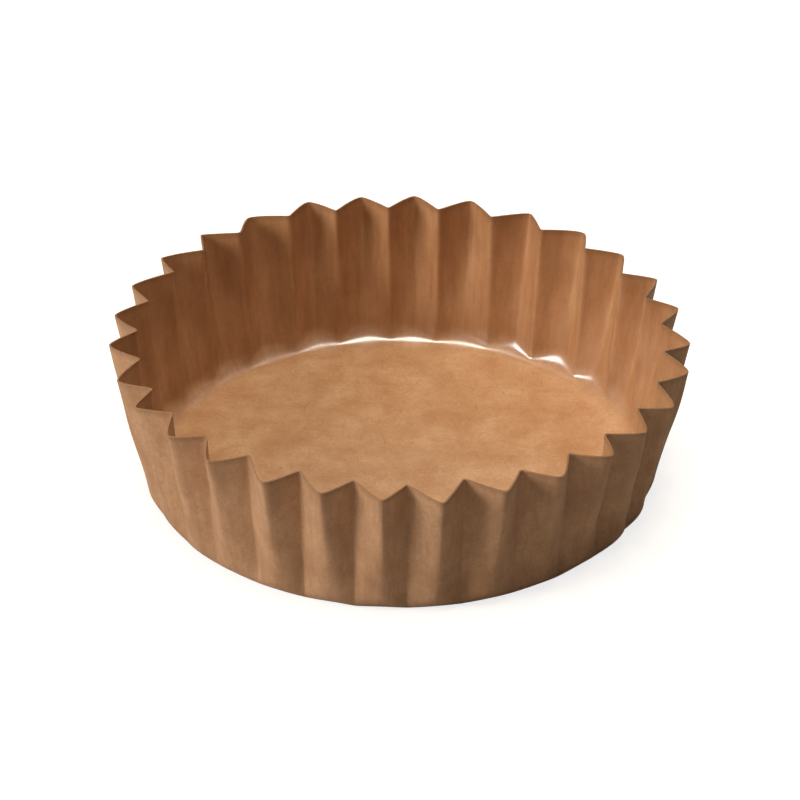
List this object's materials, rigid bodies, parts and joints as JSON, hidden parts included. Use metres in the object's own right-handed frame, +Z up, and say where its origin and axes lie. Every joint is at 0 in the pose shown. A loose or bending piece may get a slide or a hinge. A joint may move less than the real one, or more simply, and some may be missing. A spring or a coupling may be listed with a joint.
{
  "type": "cupcake liner",
  "caption": "Shallow round paper baking cup: a flat floor, a small rounded heel and a flared wall of sharp pleats that ends in a zigzag rim.",
  "frame": {"origin": "centre of the underside of the floor, on the surface the cup stands on", "axes": "+Z up out of the mouth, along the cup's round axis; +X through the tip of one pleat"},
  "size_m": [0.07, 0.0696, 0.0189],
  "materials": {
    "kraft_paper": "unbleached brown kraft paper, matt and fibrous outside, with a thin grease-resistant film inside that has a soft sheen"
  },
  "bodies": {
    "root": {"liner": "kraft_paper"}
  },
  "joints": []
}
